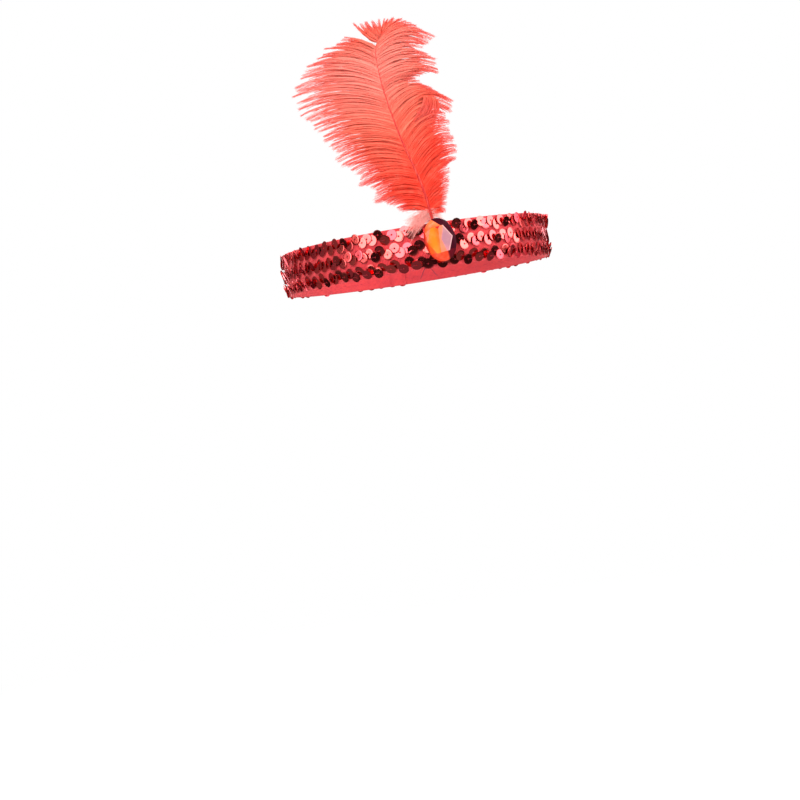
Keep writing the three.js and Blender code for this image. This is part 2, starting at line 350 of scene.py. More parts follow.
class Nodes:
    """Adds nodes to a tree, each with its settings first and then its sockets."""

    def __init__(self, tree):
        self.tree = tree
        tree.nodes.clear()

    def add(self, kind, settings=(), sockets=(), output=0):
        """A node of any kind. Sockets take numbers or links, and one output comes back."""
        node = self.tree.nodes.new(kind)
        for name, value in dict(settings).items():
            setattr(node, name, value)
        for key, value in dict(sockets).items():
            target = node.inputs[key] if isinstance(key, int) else self.named(node.inputs, key)
            if isinstance(value, Value):
                self.tree.links.new(value.socket, target)
            else:
                target.default_value = value
        if isinstance(output, str):
            return Value(self, self.named(node.outputs, output))
        return Value(self, node.outputs[output]) if len(node.outputs) else None

    @staticmethod
    def named(sockets, identifier):
        return next(s for s in sockets if s.identifier == identifier)

    def math(self, operation, *values):
        return self.add("ShaderNodeMath", {"operation": operation}, enumerate(values))

    def vector(self, operation, *values):
        return self.add("ShaderNodeVectorMath", {"operation": operation}, enumerate(values))

    def scaled(self, vector, factor):
        sockets = {"Vector": vector, "Scale": factor}
        return self.add("ShaderNodeVectorMath", {"operation": "SCALE"}, sockets)

    def join(self, x=0.0, y=0.0, z=0.0):
        return self.add("ShaderNodeCombineXYZ", (), {"X": x, "Y": y, "Z": z})

    def split(self, vector):
        first = self.add("ShaderNodeSeparateXYZ", (), {"Vector": vector})
        return first, first.output("Y"), first.output("Z")

    def step(self, value, low, high):
        """Smooth step from 0 at low to 1 at high, which may be the lower number."""
        sockets = {"Value": value, "From Min": low, "From Max": high}
        return self.add("ShaderNodeMapRange", {"interpolation_type": "SMOOTHSTEP"}, sockets)

    def mix(self, factor, first, second):
        """Colour between two others."""
        sockets = {"Factor_Float": factor, "A_Color": full(first), "B_Color": full(second)}
        return self.add("ShaderNodeMix", {"data_type": "RGBA"}, sockets, "Result_Color")

    def noise(self, place, scale, detail):
        sockets = {"Vector": place, "Scale": scale, "Detail": detail}
        return self.add("ShaderNodeTexNoise", (), sockets)

    def bump(self, height, distance):
        return self.add("ShaderNodeBump", (), {"Height": height, "Distance": distance})

    def place(self):
        return self.add("ShaderNodeTexCoord", output="Object")

    def own(self, name, output="Fac"):
        """The piece's own attribute."""
        return self.add("ShaderNodeAttribute", {"attribute_name": name}, (), output)

    def principled(self, sockets):
        return self.add("ShaderNodeBsdfPrincipled", (), sockets)

    def thin(self, share, solid, glow):
        """A shader that lets light of one colour through, by a share."""
        through = self.add("ShaderNodeBsdfTranslucent", (), {"Color": full(glow)})
        return self.mixed(share, solid, through)

    def mixed(self, share, first, second):
        """Shader between two others."""
        sockets = {"Fac": share, "Shader": first, "Shader_001": second}
        return self.add("ShaderNodeMixShader", (), sockets)

    def surface(self, shader):
        self.add("ShaderNodeOutputMaterial", (), {"Surface": shader})


def full(colour):
    """A plain colour with its alpha, or a linked one as it is."""
    return colour if isinstance(colour, Value) else (*colour[:3], 1.0)


def new_material(name):
    material = bpy.data.materials.new(name)
    material.use_nodes = True
    return material, Nodes(material.node_tree)


class Recipe:
    """A Geometry Nodes tree with named inputs, which turns a mesh of lines into a piece."""

    def __init__(self, name):
        self.tree = bpy.data.node_groups.new(name, "GeometryNodeTree")
        self.nodes = Nodes(self.tree)
        self.inlet = self.tree.nodes.new("NodeGroupInput")
        self.values = {}
        for side, title in (("INPUT", "Base"), ("OUTPUT", "Piece")):
            self.tree.interface.new_socket(
                name=title, in_out=side, socket_type="NodeSocketGeometry")
        base = Value(self.nodes, self.inlet.outputs["Base"])
        self.curve = self.nodes.add("GeometryNodeMeshToCurve", (), {"Mesh": base})

    def input(self, name, kind, value):
        socket = self.tree.interface.new_socket(
            name=name, in_out="INPUT", socket_type="NodeSocket" + kind)
        self.values[socket.identifier] = value
        return Value(self.nodes, self.inlet.outputs[name])

    def number(self, name, value):
        return self.input(name, "Float", value)

    def attribute(self, name, kind="FLOAT"):
        return self.nodes.add("GeometryNodeInputNamedAttribute", {"data_type": kind},
                              {"Name": name}, "Attribute")

    def chance(self, low, high, seed):
        """A random number for each point."""
        sockets = {"Min_001": low, "Max_001": high, "Seed": seed}
        return self.nodes.add("FunctionNodeRandomValue", {"data_type": "FLOAT"}, sockets,
                              "Value_001")

    def shape(self, name, shape):
        thing = self.input(name, "Object", shape)
        return self.nodes.add("GeometryNodeObjectInfo", (), {"Object": thing}, "Geometry")

    def turned(self, rotation, turn):
        """A rotation turned further, in its own axes."""
        return self.nodes.add("FunctionNodeRotateRotation", {"rotation_space": "LOCAL"},
                              {"Rotation": rotation, "Rotate By": self.euler(turn)})

    def euler(self, angles):
        return self.nodes.add("FunctionNodeEulerToRotation", (), {"Euler": angles})

    def make(self, name, mesh, geometry, material):
        """Runs the tree on a mesh of lines and returns the result as a plain mesh object."""
        add = self.nodes.add
        real = add("GeometryNodeRealizeInstances", (), {"Geometry": geometry})
        finish = self.input("Finish", "Material", material)
        done = add("GeometryNodeSetMaterial", (), {"Geometry": real, "Material": finish})
        add("NodeGroupOutput", (), {0: done})
        base = new_object(name + "_base", mesh)
        modifier = base.modifiers.new(name, "NODES")
        modifier.node_group = self.tree
        for identifier, value in self.values.items():
            modifier[identifier] = value
        graph = bpy.context.evaluated_depsgraph_get()
        result = bpy.data.meshes.new_from_object(
            base.evaluated_get(graph), preserve_all_data_layers=True, depsgraph=graph)
        base.modifiers.remove(modifier)
        bpy.data.objects.remove(base)
        result.name = name
        return new_object(name, result)


# Meshes


def new_object(name, mesh):
    thing = bpy.data.objects.new(name, mesh)
    bpy.context.scene.collection.objects.link(thing)
    return thing


def new_mesh(name, points, faces=(), edges=()):
    mesh = bpy.data.meshes.new(name)
    mesh.from_pydata([tuple(p) for p in points], list(edges), list(faces))
    mesh.update()
    return mesh


def outward(mesh):
    """Turns every face of a closed mesh outwards."""
    body = bmesh.new()
    body.from_mesh(mesh)
    bmesh.ops.recalc_face_normals(body, faces=body.faces)
    body.to_mesh(mesh)
    body.free()


def loft(name, rings, hoop=False):
    """Closed mesh round rings of points, which close on each other or have a cap at each end."""
    count = len(rings[0])
    faces = []
    for i in range(len(rings) if hoop else len(rings) - 1):
        here, there = i * count, (i + 1) % len(rings) * count
        for j in range(count):
            k = (j + 1) % count
            faces.append((here + j, here + k, there + k, there + j))
    if not hoop:
        last = (len(rings) - 1) * count
        faces.append(tuple(reversed(range(count))))
        faces.append(tuple(range(last, last + count)))
    mesh = new_mesh(name, [p for ring in rings for p in ring], faces)
    outward(mesh)
    return mesh


def tube(name, path, radii, sides):
    """Round tube along a path of points."""
    rings = []
    upright = abs((path[1] - path[0]).normalized().z) >= 0.9
    across = Vector((1, 0, 0)) if upright else Vector((0, 0, 1))
    for i, point in enumerate(path):
        heading = (path[min(i + 1, len(path) - 1)] - path[max(i - 1, 0)]).normalized()
        across = (across - heading * across.dot(heading)).normalized()
        other = heading.cross(across)
        rings.append([point + (across * math.cos(t) + other * math.sin(t)) * radii[i]
                      for t in whole_turn(sides)])
    return loft(name, rings)


def join_meshes(name, meshes):
    """One mesh of several, which are removed."""
    body = bmesh.new()
    for mesh in meshes:
        body.from_mesh(mesh)
    joined = bpy.data.meshes.new(name)
    body.to_mesh(joined)
    body.free()
    for mesh in meshes:
        bpy.data.meshes.remove(mesh)
    return joined


def seat(piece, slot, *nodes):
    """Makes a piece ride on the headband, in place of CAD nodes. Its slot is not used."""
    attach(piece, "root")
    if nodes:
        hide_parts(*nodes)


def smooth(piece):
    piece.data.shade_smooth()
    return piece


# Places on the band and in the plume


def band_point(angle, z, out):
    """Point at an angle from the front, a height and a distance out from the opening."""
    lean = SIDE_LEAN / 2 * z / BAND_HEIGHT
    return Vector(((HALF_WIDTH + out + lean) * math.sin(angle),
                   -(HALF_DEPTH + out) * math.cos(angle), z))


def band_loop(name, out, z):
    """Closed line round the band, with out a distance or a function of the angle."""
    steps = 288
    away = out if callable(out) else lambda angle: out
    points = [band_point(a, z, away(a)) for a in whole_turn(steps)]
    return new_mesh(name, points, edges=[(i, (i + 1) % steps) for i in range(steps)])


def loop_length(mesh):
    points = [v.co for v in mesh.vertices]
    return sum((a - b).length for a, b in zip(points, points[1:] + points[:1]))


def plume_point(up, aside):
    """Place in the plume, in shares of its height. Its top leans back."""
    back = PLUME_BACK * max(up, 0) ** 2
    return Vector((aside * PLUME_HEIGHT, back - PLUME_DEPTH, PLUME_FOOT + up * PLUME_HEIGHT))


def shaft_slope(index):
    """How fast the shaft moves aside as it rises, at one of its rows."""
    before = SHAFT_ROWS[max(index - 1, 0)]
    after = SHAFT_ROWS[min(index + 1, len(SHAFT_ROWS) - 1)]
    return (after.aside - before.aside) / (after.up - before.up)


def shaft_at(up):
    """The shaft's middle, on a smooth curve through its rows."""
    over = [i for i, row in enumerate(SHAFT_ROWS) if row.up > up]
    low = min(max(over[0], 1) - 1 if over else len(SHAFT_ROWS), len(SHAFT_ROWS) - 2)
    start, end = SHAFT_ROWS[low], SHAFT_ROWS[low + 1]
    span = end.up - start.up
    t = (up - start.up) / span
    aside = (start.aside * (1 + 2 * t) * (1 - t) ** 2
             + shaft_slope(low) * span * t * (1 - t) ** 2
             + end.aside * t * t * (3 - 2 * t)
             - shaft_slope(low + 1) * span * t * t * (1 - t))
    return plume_point(up, aside)


def shaft_radius(up):
    return blend(SHAFT_WIDTH, SHAFT_TIP_WIDTH, max(up, 0) / SHAFT_ROWS[-1].up) / 2


def row_at(rows, root):
    """The row of a barb table at any root, worked out between the two beside it."""
    root = min(max(root, rows[0].root), rows[-1].root)
    for low, high in zip(rows, rows[1:]):
        if root <= high.root:
            share = (root - low.root) / (high.root - low.root)
            return BarbRow(*(blend(a, b, share) for a, b in zip(low, high)))
    return rows[-1]


# Cloth


def cloth_material(settings):
    material, nodes = new_material("knitted_cloth")
    along, across, _ = nodes.split(nodes.add("ShaderNodeUVMap", {"uv_map": "cloth"}))
    rib = nodes.math("PINGPONG", along / settings.rib, 0.5) * 2
    stitch_height = 0.62 * settings.rib
    slant = across / stitch_height + rib * 0.5
    stitch = nodes.math("PINGPONG", slant, 0.5) * 2
    knit = nodes.step(rib, 0.0, 0.6) * (0.4 + 0.6 * nodes.step(stitch, 0.1, 0.7))
    patch = nodes.noise(nodes.place(), 160.0, 3.0)
    worn = nodes.step(patch, 0.2, 0.8)
    # Painted shade: the knit's grooves between ribs and stitches are painted darker, on top of the
    # bump that carves them.
    dark = tuple(c * 0.45 for c in settings.cloth)
    warm = tint(240, 74, 60)
    colour = nodes.mix(knit * 0.85 + 0.15 * worn, dark, settings.cloth)
    colour = nodes.mix(worn * 0.2, colour, warm)
    nodes.surface(nodes.principled({
        "Base Color": colour, "Roughness": 0.72 + 0.18 * patch,
        "Sheen Weight": 0.25, "Sheen Roughness": 0.4, "Sheen Tint": full(tint(255, 170, 170)),
        "Normal": nodes.bump(knit + 0.3 * patch, 0.16 * MM)}))
    return material


def lap_half_angle(settings):
    """Half the length of the lap, as an angle round the band."""
    return settings.lap / (2 * HALF_DEPTH)


def cloth_shift(station, settings):
    """How far in the cloth lies at an angle of the strip: its first end lies inside its last."""
    under = lap_half_angle(settings)
    ramp, apart = 0.05, 0.05 * MM
    return -(CLOTH + apart) * (1 - ease(under, under + ramp, station + math.pi))


def gather(along, z, settings):
    """How far the cloth stands out at a place: small waves between the rows of sequins."""
    between = 0.5 - 0.5 * math.cos(2 * math.pi * (z / BAND_HEIGHT * len(ROWS) + 0.5))
    wave_length = 2.6 * MM
    wave = math.sin(2 * math.pi * along / wave_length + 1.5 * math.sin(z / MM + along * 90))
    return settings.ripple * between * (wave - 0.4)


def cloth_ring(station, along, settings):
    """Section of the strip: up its outer face, over its edge and down its inner face."""
    shift = cloth_shift(station, settings)
    edge = CLOTH / 2
    top = HALF_HEIGHT - edge
    outer_steps, edge_steps, inner_steps = 22, 6, 8
    ring = []
    for i in range(outer_steps + 1):
        z = blend(-top, top, i / outer_steps)
        ring.append(band_point(station, z, shift + CLOTH + gather(along, z, settings)))
    for i in range(1, edge_steps):
        turn = math.pi * i / edge_steps
        ring.append(band_point(station, top + edge * math.sin(turn),
                               shift + edge + edge * math.cos(turn)))
    for i in range(inner_steps + 1):
        ring.append(band_point(station, blend(top, -top, i / inner_steps), shift))
    for i in range(1, edge_steps):
        turn = math.pi * i / edge_steps
        ring.append(band_point(station, -top - edge * math.sin(turn),
                               shift + edge - edge * math.cos(turn)))
    return ring


def make_cloth(settings):
    """The strip of cloth from its first end, under the lap, once round to its last."""
    reach = math.pi + lap_half_angle(settings)
    steps = 880
    stations = [blend(-reach, reach, i / steps) for i in range(steps + 1)]
    rings, along, previous = [], [], None
    for station in stations:
        middle = band_point(station, 0, CLOTH / 2)
        along.append(along[-1] + (middle - previous).length if previous else 0.0)
        previous = middle
        rings.append(cloth_ring(station, along[-1], settings))
    mesh = loft("band_cloth", rings)
    count = len(rings[0])
    layer = mesh.uv_layers.new(name="cloth")
    for loop in mesh.loops:
        z = mesh.vertices[loop.vertex_index].co.z
        layer.data[loop.index].uv = (along[loop.vertex_index // count], z)
    mesh.materials.append(cloth_material(settings))
    piece = smooth(new_object("band_cloth", mesh))
    seat(piece, "stretch_cloth", "band_fabric")


# Sequins and the stitches on the band


def sequin_material(settings):
    material, nodes = new_material("metallised_film")
    place = nodes.place()
    shade = nodes.own("shade")
    colour = nodes.mix(nodes.step(shade, 0.5, 1.0) * 0.3, settings.film_colour, tint(250, 100, 90))
    colour = nodes.mix(nodes.step(shade, 0.5, 0.0) * 0.5, colour, tint(196, 50, 72))
    smear = nodes.noise(place, 900.0, 2.0)
    nodes.surface(nodes.principled({
        "Base Color": colour, "Metallic": 1.0, "Roughness": 0.09 + 0.12 * smear,
        "Specular Tint": (0.8, 0.3, 0.34, 1.0), "Coat Weight": 0.08, "Coat Roughness": 0.1,
        "Normal": nodes.bump(nodes.noise(place, 420.0, 1.0), 0.05 * MM)}))
    return material


def thread_material(name, colour):
    material, nodes = new_material(name)
    grain = nodes.noise(nodes.place(), 2600.0, 2.0)
    pale = tuple(min(c * 1.9 + 0.02, 1) for c in colour)
    nodes.surface(nodes.principled({
        "Base Color": nodes.mix(nodes.step(grain, 0.3, 0.7), colour, pale), "Roughness": 0.7,
        "Normal": nodes.bump(grain, 0.05 * MM)}))
    return material


def sequin_shape(settings):
    """A cupped disc with a hole, facing +Z."""
    hole, rim, film = settings.hole / 2, settings.diameter / 2, settings.film / 2
    profile = ((hole, film), (rim * 0.8, film), (rim, film - settings.cup),
               (rim, -film - settings.cup), (hole, -film))
    sides = 14
    rings = [[Vector((r * math.cos(t), r * math.sin(t), z)) for r, z in profile]
             for t in whole_turn(sides)]
    return new_object("sequin_shape", loft("sequin_shape", rings, hoop=True))


def stitch_shape(settings):
    """The thread that holds a sequin: out of its hole, over its film and down past its rim."""
    rim = settings.diameter / 2
    film = settings.film
    radius = 0.075 * MM
    path = [Vector((x, 0, z)) for x, z in (
        (0, -2.5 * film), (0, film * 0.6), (0.25 * MM, film * 1.5), (rim * 0.5, film * 1.1),
        (rim - 0.2 * MM, film * 0.3), (rim + 0.1 * MM, -film * 4))]
    return new_object("stitch_shape", tube("stitch_shape", path, [radius] * len(path), 5))


def on_band(name, shape, loop, material, count, *, zigzag=0.0, tilt=0.0, lean=0.0, wobble=0.0,
            drift=0.0, spin=0.0, slip=0.0, seed=0):
    """Copies of a shape along a line round the band, facing out and mirrored at the stone.

    Lengths and angles are as in the sequins' settings; lean is a nod of them all, and spin how
    far each may be turned on its thread. They lie flatter at the middle of the front and back."""
    flat_to, free_from = 3 * MM, 7 * MM
    slipped_share, slip_room = 0.29, 1.8 * MM
    recipe = Recipe(name)
    nodes, add = recipe.nodes, recipe.nodes.add
    amounts = {title: recipe.number(title, value) for title, value in (
        ("Zigzag", zigzag), ("Tilt", tilt), ("Lean", lean), ("Wobble", wobble),
        ("Drift", drift), ("Spin", spin), ("Slip", slip))}

    def unit(index):
        """A random number from 0 to 1 for each copy."""
        return recipe.chance(0.0, 1.0, seed * 10 + index)

    def either_way(amount, index):
        """A random share of an amount, to one side or the other."""
        return recipe.chance(-1.0, 1.0, seed * 10 + index) * amount

    points = add("GeometryNodeCurveToPoints", {"mode": "COUNT"},
                 {"Curve": recipe.curve, "Count": recipe.input("Count", "Int", count)})
    tangent = points.output("Tangent")
    outwards = nodes.vector("CROSS_PRODUCT", tangent, (0.0, 0.0, 1.0))
    x, _, _ = nodes.split(add("GeometryNodeInputPosition"))
    side = nodes.math("SIGN", x)
    free = nodes.step(abs(x), flat_to, free_from)
    slipped = nodes.math("GREATER_THAN", unit(6), 1 - slipped_share)

    swing = amounts["Wobble"] * (0.3 + 0.7 * free)
    tip = side * amounts["Tilt"] * (0.25 + 0.75 * free) + either_way(swing, 0)
    nod = amounts["Lean"] * free + either_way(swing, 1) + slipped * amounts["Slip"]
    turn = (1 - side) * (math.pi / 2) + unit(2) * amounts["Spin"]
    rotation = add("FunctionNodeAxesToRotation", {"primary_axis": "Z", "secondary_axis": "X"},
                   {"Primary Axis": outwards, "Secondary Axis": tangent})
    rotation = recipe.turned(rotation, nodes.join(nod, tip))
    rotation = recipe.turned(rotation, nodes.join(z=turn))

    parity = nodes.math("MODULO", add("GeometryNodeInputIndex"), 2.0) * 2 - 1
    rise = nodes.join(z=parity * amounts["Zigzag"] + either_way(amounts["Drift"], 3))
    run = nodes.scaled(tangent, either_way(amounts["Drift"], 4))
    clear = nodes.scaled(outwards, slipped * amounts["Slip"] * slip_room)
    offset = nodes.vector("ADD", nodes.vector("ADD", run, clear), rise)
    moved = add("GeometryNodeSetPosition", (), {"Geometry": points, "Offset": offset})
    shaded = add("GeometryNodeStoreNamedAttribute", {"data_type": "FLOAT", "domain": "POINT"},
                 {"Geometry": moved, "Name": "shade", "Value": unit(5)})
    copies = add("GeometryNodeInstanceOnPoints", (), {
        "Points": shaded, "Instance": recipe.shape("Shape", shape), "Rotation": rotation})
    return recipe.make(name, loop, copies, material)


def make_sequins(settings):
    """Three rows of sequins, each with its thread, which overlap away from the stone."""
    film = sequin_material(settings)
    thread = thread_material("sequin_thread", tint(112, 10, 28))
    disc = sequin_shape(settings)
    stitch = stitch_shape(settings)
    out = (CLOTH + SEAT_GAP + PILE) / 2
    for index, row in enumerate(ROWS):
        node = "sequin_row_" + row
        loop = band_loop(node, out, (index - 1) * settings.step)
        count = round(loop_length(loop) / settings.pitch / 2) * 2
        way = {"zigzag": settings.zigzag, "tilt": settings.tilt, "drift": settings.drift,
               "wobble": settings.wobble, "lean": math.radians(ROW_NODS[row]),
               "slip": settings.slip, "seed": settings.seed + index}
        sequins = on_band("sequins_" + row, disc, loop, film, count, spin=2 * math.pi, **way)
        seat(sequins, "sequins", node)
        threads = on_band("threads_" + row, stitch, loop, thread, count, **way)
        seat(smooth(threads), "stretch_cloth")
    for shape in (disc, stitch):
        bpy.data.objects.remove(shape)


# Stone and glue


def stone_place():
    """Where the middle of the stone's back sits, and how the stone is turned."""
    facing = Euler((0, -STONE_TILT, -STONE_TURN), "XYZ")
    return Matrix.Translation((0, -STONE_BACK, STONE_RISE)) @ facing.to_matrix().to_4x4()


def stone_ring(count, width, height, forward):
    """Points of an oval round the stone's axis, in shares of its outline."""
    return [Vector((STONE_WIDTH / 2 * width * math.cos(t), -forward,
                    STONE_HEIGHT / 2 * height * math.sin(t))) for t in whole_turn(count)]


def stone_material(settings):
    """Clear facets over coloured foil, with light and shade painted into the colours: the foil's
    amber painted as its lit side and its lilac as its shaded side, painted shade on the crown's right
    and lower right facets, darker red at the left edge, a painted glint along the table's right edge
    and painted sparkle over the foil.

    Places of the colours are in millimetres from the stone's middle, along its own axes."""
    material, nodes = new_material("foiled_stone")
    seat_place = stone_place()
    local = nodes.add("ShaderNodeMapping", {"vector_type": "TEXTURE"}, {
        "Vector": nodes.place(), "Location": tuple(seat_place.translation),
        "Rotation": tuple(seat_place.to_euler())})
    x, _, z = nodes.split(local)
    x, z = x / MM, z / MM
    wide = STONE_WIDTH / 2 * STONE_TABLE[0] / MM
    tall = STONE_HEIGHT / 2 * STONE_TABLE[1] * math.sin(math.pi / 3) / MM

    def over(value, limit, soft=0.15):
        """1 where the value is past its limit and 0 where it isn't, with a soft edge."""
        return nodes.step(value, limit - soft, limit + soft)

    salmon, orange, rose = tint(240, 112, 84), tint(238, 78, 26), tint(206, 122, 126)
    ruby, brick, shade_wine = tint(186, 24, 28), tint(196, 30, 16), tint(84, 10, 22)
    painted_edge_glint, apricot, painted_sparkle_peach = tint(226, 176, 168), tint(248, 110, 60), tint(255, 196, 150)

    slope = abs(x) / wide + abs(z) / (2 * tall)
    table = over(slope * -1, -1, 0.015) * over(abs(z) * -1, -tall, 0.1)
    # Painted light: a patch on the left of the table is painted lit amber over the foil's orange.
    left_painted_light = nodes.step(abs(x + 3.6), 3.4, 0.6)
    amber = nodes.mix(0.3 + 0.7 * left_painted_light, orange, settings.amber)
    front = nodes.mix(over(x - 0.155 * z, -0.25), amber, salmon)
    # Painted shade: the table's right side takes the lilac of the shaded side, going rose towards its
    # bottom.
    low = nodes.step(z + 0.4 * x, -1.0, -6.5)
    lilac = nodes.mix(low * 0.6, settings.lilac, rose)
    front = nodes.mix(over(x - 0.12 * z - 0.3 * abs(z), 0.75, 0.3), front, lilac)
    front = nodes.mix(over(z - 1.1 * abs(x - 0.4), 5.9), front, ruby)
    # Painted glint: a pale line along the table's right edge.
    rim = over(slope, 0.93, 0.04) * over(x, 1.0, 1.0)
    front = nodes.mix(rim * 0.5, front, painted_edge_glint)

    # Painted shade: the crown's facets at the upper right and down the right side are painted maroon,
    # rougher and with less coat.
    shaded = nodes.math("MAXIMUM", over(x + 0.9 * z, 9.0, 0.25), over(x, 3.8, 0.5))
    left_edge = nodes.mix(over(x, -7.4, 0.7), brick, orange)
    crown = nodes.mix(over(z, 8.5, 2.0), left_edge, apricot)
    crown = nodes.mix(shaded, crown, settings.shade_maroon)
    # Painted shade: the lowest facets are ember, going to dark wine at the lower right, which is
    # dulled like the shaded facets.
    low_right = over(x, 2.4, 0.8)
    bottom = over(z * -1, 6.9)
    crown = nodes.mix(bottom, crown, nodes.mix(low_right, settings.ember, shade_wine))

    colour = nodes.mix(table, crown, front)
    # Painted sparkle: light specks of peach over the foil, left out where the facets are painted in
    # shade.
    cloud = nodes.noise(nodes.place(), 260.0, 3.0)
    dull = (1 - table) * nodes.math("MAXIMUM", shaded, low_right * bottom)
    colour = nodes.mix(nodes.step(cloud, 0.4, 0.8) * 0.1 * (1 - dull), colour, painted_sparkle_peach)
    nodes.surface(nodes.principled({
        "Base Color": colour, "Roughness": 0.32 + 0.3 * dull, "Specular IOR Level": 0.04,
        "Coat Weight": (1 - 0.97 * dull) * (0.55 + 0.45 * table),
        "Coat Roughness": 0.03, "Coat IOR": 1.45}))
    return material


def make_stone(settings):
    """The stone: an upright wall, two belts of facets and a six-sided table, with bevelled edges."""
    def halfway(share):
        return (1 + share) / 2 + 0.03

    width, height = STONE_TABLE
    belt = (STONE_EDGE + STONE_DEPTH) / 2 + 0.5 * MM
    points = [*stone_ring(36, 1, 1, 0), *stone_ring(36, 1, 1, STONE_EDGE),
              *stone_ring(12, halfway(width), halfway(height), belt),
              *stone_ring(6, width, height, STONE_DEPTH)]
    body = bmesh.new()
    for point in points:
        body.verts.new(point)
    bmesh.ops.convex_hull(body, input=body.verts)
    bmesh.ops.dissolve_limit(body, angle_limit=math.radians(1), verts=body.verts,
                             edges=body.edges)
    sharp = [e for e in body.edges if e.calc_face_angle(0) > math.radians(4)]
    bmesh.ops.bevel(body, geom=sharp, offset=0.12 * MM, segments=2, profile=0.5,
                    affect="EDGES", clamp_overlap=True)
    bmesh.ops.transform(body, matrix=stone_place(), verts=body.verts)
    mesh = bpy.data.meshes.new("stone")
    body.to_mesh(mesh)
    body.free()
    outward(mesh)
    mesh.materials.append(stone_material(settings))
    seat(new_object("stone", mesh), "stone", "gem")


def glue_material():
    material, nodes = new_material("set_glue")
    place = nodes.place()
    cloud = nodes.noise(place, 320.0, 3.0)
    nodes.surface(nodes.principled({
        "Base Color": nodes.mix(cloud, tint(214, 200, 190), tint(245, 238, 230)),
        "Roughness": 0.2 + 0.2 * cloud, "Transmission Weight": 0.55, "IOR": 1.48,
        "Normal": nodes.bump(nodes.noise(place, 700.0, 2.0), 0.1 * MM)}))
    return material


def make_glue():
    """The pad's own form, rounded as a bead of glue is and a little uneven."""
    source = bpy.data.objects["glue_pad"]
    body = bmesh.new()
    body.from_mesh(source.data)
    bmesh.ops.remove_doubles(body, verts=body.verts, dist=0.001 * MM)
    mesh = bpy.data.meshes.new("glue_bead")
    body.to_mesh(mesh)
    body.free()
    piece = new_object("glue_bead", mesh)
    remesh = piece.modifiers.new("grain", "REMESH")
    remesh.mode = "VOXEL"
    remesh.voxel_size = 0.35 * MM
    soften = piece.modifiers.new("soften", "SMOOTH")
    soften.iterations = 8
    soften.factor = 0.6
    graph = bpy.context.evaluated_depsgraph_get()
    rounded = bpy.data.meshes.new_from_object(piece.evaluated_get(graph), depsgraph=graph)
    piece.modifiers.clear()
    piece.data = rounded
    rounded.materials.clear()
    rounded.materials.append(glue_material())
    seat(smooth(piece), "glue", "glue_pad")


# Plume


def shaft_material(settings):
    material, nodes = new_material("dyed_shaft")
    place = nodes.place()
    _, _, z = nodes.split(place)
    height = (z - PLUME_FOOT) / PLUME_HEIGHT
    streak = nodes.noise(nodes.vector("MULTIPLY", place, (1.0, 1.0, 0.06)), 1900.0, 2.0)
    colour = nodes.mix(nodes.step(height, 0.0, 0.9), tint(170, 30, 28), tint(186, 50, 44))
    colour = nodes.mix(nodes.step(streak, 0.5, 0.75) * 0.35, colour, settings.coral)
    nodes.surface(nodes.principled({
        "Base Color": colour, "Roughness": 0.4 + 0.2 * streak, "Specular IOR Level": 0.35,
        "Normal": nodes.bump(streak, 0.05 * MM)}))
    return material


def make_shaft(settings):
    """Tapered shaft, round at the front, with the groove of a real one down its back."""
    steps, sides = 110, 20
    groove_depth, flatness = 0.32, 0.95
    rings = []
    for i in range(steps + 1):
        up = blend(SHAFT_ROWS[0].up, SHAFT_ROWS[-1].up, i / steps)
        rounded_end = min(1, (1 - i / steps) * 18, 0.55 + i / 3)
        radius = shaft_radius(up) * math.sqrt(rounded_end)
        middle = shaft_at(up)
        ring = []
        for turn in whole_turn(sides):
            groove = groove_depth * max(math.cos(turn - math.pi / 2), 0) ** 6
            away = Vector((math.cos(turn), math.sin(turn) * flatness, 0)) * radius * (1 - groove)
            ring.append(middle + away)
        rings.append(ring)
    mesh = loft("shaft", rings)
    mesh.materials.append(shaft_material(settings))
    seat(smooth(new_object("shaft", mesh)), "quill", "quill")


def barb_material(name, settings, translucency, softness):
    """Dyed barb with painted light from above and the left: deeper low and lighter near the top,
    lighter on the left and deeper right of the shaft, and redder at its thin end.
    """
    material, nodes = new_material(name)
    place = nodes.place()
    x, _, z = nodes.split(place)
    rise = (z - PLUME_FOOT) / PLUME_HEIGHT
    # Painted light from the left: the left side counts as higher on the plume, so it is painted
    # lighter, and right of the shaft counts as lower, so it is painted deeper.
    height = rise + 0.12 * nodes.step(x, 0.0, -24 * MM) - 0.14 * nodes.step(x, -2 * MM, 8 * MM)
    share, tone = nodes.own("share"), nodes.own("tone")
    # Painted light from above: deep low on the plume, coral in the middle and light near the top,
    # fading back and deeper again at the very top.
    colour = nodes.mix(nodes.step(height, 0.16, 0.7), settings.deep, settings.coral)
    pale = nodes.step(height, 0.5, 0.85) * (1 - 0.75 * nodes.step(height, 0.9, 1.05))
    colour = nodes.mix(pale * 0.8, colour, settings.light)
    colour = nodes.mix(nodes.step(rise, 0.84, 0.97) * 0.45, colour, settings.deep)
    colour = nodes.mix(nodes.step(share, 0.55, 1.0) * 0.65, colour, settings.tip)
    patch = nodes.noise(place, 240.0, 2.0)
    colour = nodes.mix(nodes.step(tone, 0.35, 0.0) * 0.45, colour, tint(190, 34, 30))
    colour = nodes.mix(nodes.step(patch, 0.45, 0.8) * 0.3, colour, tint(255, 150, 128))
    solid = nodes.principled({
        "Base Color": colour, "Roughness": 0.62 + 0.2 * patch, "Specular IOR Level": 0.25,
        "Sheen Weight": softness, "Sheen Roughness": 0.5, "Sheen Tint": full(tint(255, 130, 110))})
    nodes.surface(nodes.thin(translucency, solid, tint(255, 136, 112)))
    return material


Guide = namedtuple("Guide", "points girths tone")


